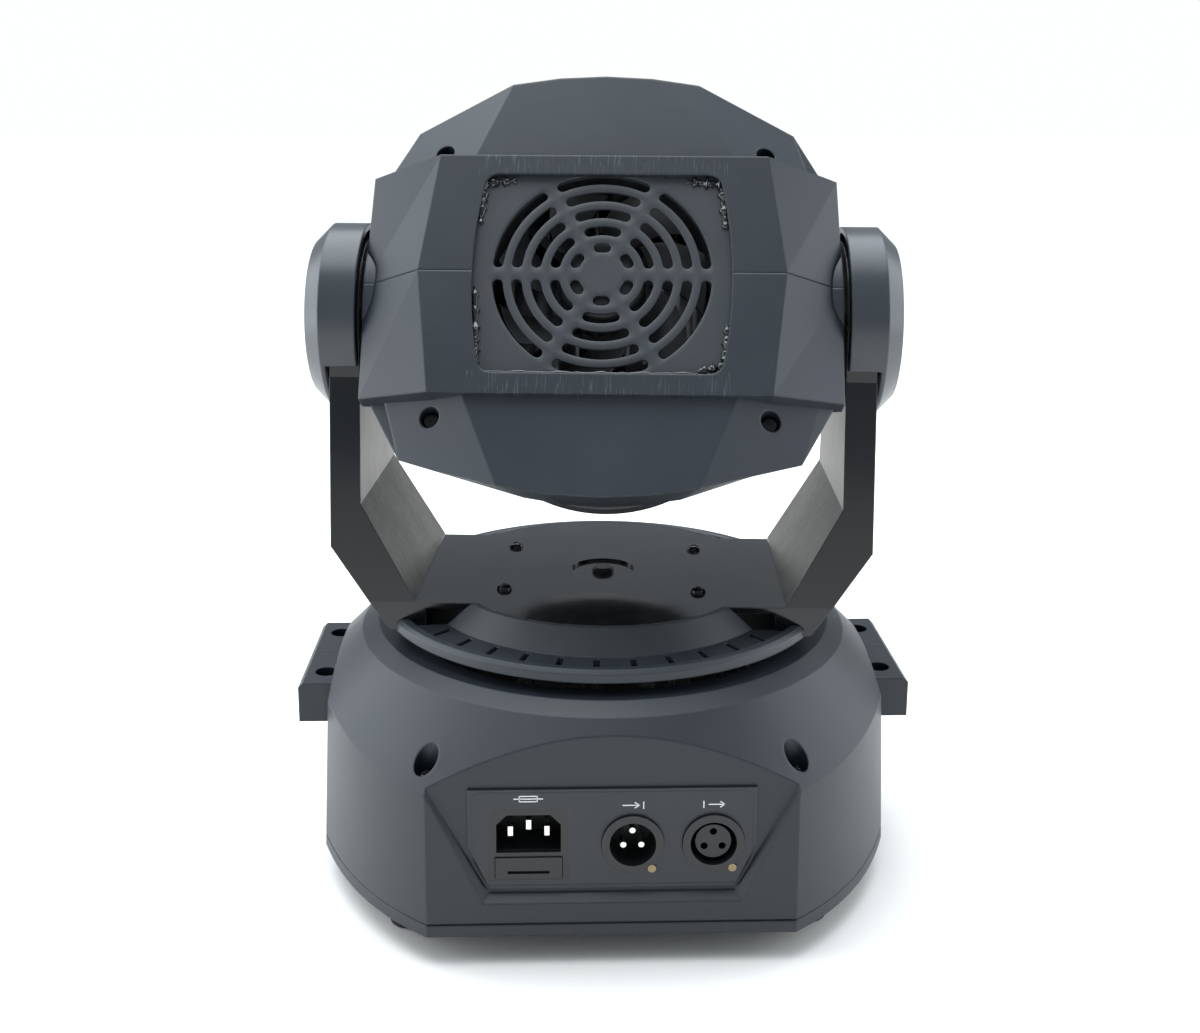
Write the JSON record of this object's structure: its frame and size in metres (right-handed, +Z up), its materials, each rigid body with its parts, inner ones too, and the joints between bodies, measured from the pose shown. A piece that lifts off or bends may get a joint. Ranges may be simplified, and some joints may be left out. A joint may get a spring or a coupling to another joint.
{
  "type": "moving head light",
  "caption": "Compact moving head stage light: a square base with rear sockets, a panning U-shaped yoke and a tilting lamp head with a rear cooling fan and a round front lens.",
  "frame": {"origin": "centre of the base's footprint, on the surface that the rubber feet stand on", "axes": "+Z up, -Y towards the connector panel, +Y towards the control panel, +X to the right as seen from the connector side"},
  "size_m": [0.263, 0.234, 0.3343],
  "materials": {
    "shell_plastic": "fine textured charcoal plastic",
    "painted_steel": "smooth black coat",
    "bare_steel": "machined",
    "screw_steel": "black zinc",
    "rubber": "matt",
    "socket_plastic": "moulded nylon",
    "contact_metal": "plated",
    "window": "smoked clear",
    "circuit": "solder mask",
    "motor_steel": "stepper motor",
    "alloy": "machined",
    "fan_plastic": "black fan plastic",
    "emitter": "light source",
    "lens": "clear",
    "holder": "black",
    "bezel": "glossy black",
    "front_lens": "clear"
  },
  "bodies": {
    "base": {"base_rear_shell": "shell_plastic", "base_front_shell": "shell_plastic", "base_shell_screws": "screw_steel", "bottom_tray": "painted_steel", "rubber_feet": "rubber", "connector_plate": "painted_steel", "mains_inlet": "socket_plastic", "contact_pins": "contact_metal", "signal_input": "socket_plastic", "signal_output": "socket_plastic", "socket_screws": "screw_steel", "control_panel": "painted_steel", "display_window": "window", "display_board": "circuit", "bearing_plate": "bare_steel", "pan_bearing": "bare_steel", "pan_motor": "motor_steel", "pan_motor_bracket": "painted_steel", "pan_belt": "rubber", "power_supply": "circuit", "control_board": "circuit"},
    "yoke": {"pan_shaft": "bare_steel", "pan_pulley": "alloy", "yoke_bracket": "painted_steel", "plate_screws": "screw_steel", "centre_plug": "socket_plastic", "turntable_disc": "painted_steel", "crescent_cover_rear": "shell_plastic", "crescent_cover_front": "shell_plastic", "arm_cap_left": "shell_plastic", "arm_cap_right": "shell_plastic", "tilt_shafts": "bare_steel", "tilt_pulley": "alloy"},
    "head": {"head_upper_shell": "shell_plastic", "head_lower_shell": "shell_plastic", "rear_cover_upper": "shell_plastic", "rear_cover_lower": "shell_plastic", "fan_grille": "painted_steel", "fan_frame": "fan_plastic", "heatsink": "alloy", "led_board": "alloy", "light_sources": "emitter", "lens_set": "lens", "lens_holder": "holder", "front_bezel": "bezel", "front_glass": "front_lens", "tilt_bearings": "bare_steel", "tilt_motor": "motor_steel", "tilt_belt": "rubber", "driver_board": "circuit", "head_screws": "screw_steel"},
    "fan_rotor": {"fan_rotor": "fan_plastic"},
    "pan_pinion": {"pan_pinion": "alloy"},
    "tilt_pinion": {"tilt_pinion": "alloy"},
    "fuse_drawer": {"fuse_drawer": "socket_plastic", "fuse": "contact_metal"},
    "menu_button": {"menu_button": "socket_plastic"},
    "up_button": {"up_button": "socket_plastic"},
    "down_button": {"down_button": "socket_plastic"},
    "enter_button": {"enter_button": "socket_plastic"}
  },
  "joints": [
    {"name": "pan", "type": "hinge", "parent": "base", "child": "yoke", "pos_m": [0, 0, 0.1], "axis": [0, 0, 1], "range_deg": [-266.3, 273.7]},
    {"name": "tilt", "type": "hinge", "parent": "yoke", "child": "head", "pos_m": [0, 0, 0.2325], "axis": [0.9979, -0.0645, 0], "range_deg": [-14, 256]},
    {"name": "fan_spin", "type": "hinge", "parent": "head", "child": "fan_rotor", "pos_m": [-0.00183, -0.02823, 0.2495], "axis": [0.0553, 0.8554, -0.515], "continuous": true},
    {"name": "pan_pinion_spin", "type": "hinge", "parent": "base", "child": "pan_pinion", "pos_m": [0, 0.064, 0.07], "axis": [0, 0, 1], "range_deg": [-1650, 1650]},
    {"name": "tilt_pinion_spin", "type": "hinge", "parent": "head", "child": "tilt_pinion", "pos_m": [0.06023, -0.02935, 0.1941], "axis": [0.9979, -0.0645, 0], "range_deg": [-780, 60]},
    {"name": "fuse_drawer_slide", "type": "slide", "parent": "base", "child": "fuse_drawer", "axis": [0, -1, 0], "range_m": [0, 0.02]},
    {"name": "menu_button_press", "type": "slide", "parent": "base", "child": "menu_button", "axis": [0, -1, 0], "range_m": [0, 0.0008], "stiffness_N_per_m": 400, "springref_m": -0.0005},
    {"name": "up_button_press", "type": "slide", "parent": "base", "child": "up_button", "axis": [0, -1, 0], "range_m": [0, 0.0008], "stiffness_N_per_m": 400, "springref_m": -0.0005},
    {"name": "down_button_press", "type": "slide", "parent": "base", "child": "down_button", "axis": [0, -1, 0], "range_m": [0, 0.0008], "stiffness_N_per_m": 400, "springref_m": -0.0005},
    {"name": "enter_button_press", "type": "slide", "parent": "base", "child": "enter_button", "axis": [0, -1, 0], "range_m": [0, 0.0008], "stiffness_N_per_m": 400, "springref_m": -0.0005}
  ],
  "couplings": [
    {"joint": "pan_pinion_spin", "follows": "pan", "ratio": 6},
    {"joint": "tilt_pinion_spin", "follows": "tilt", "ratio": -3}
  ]
}
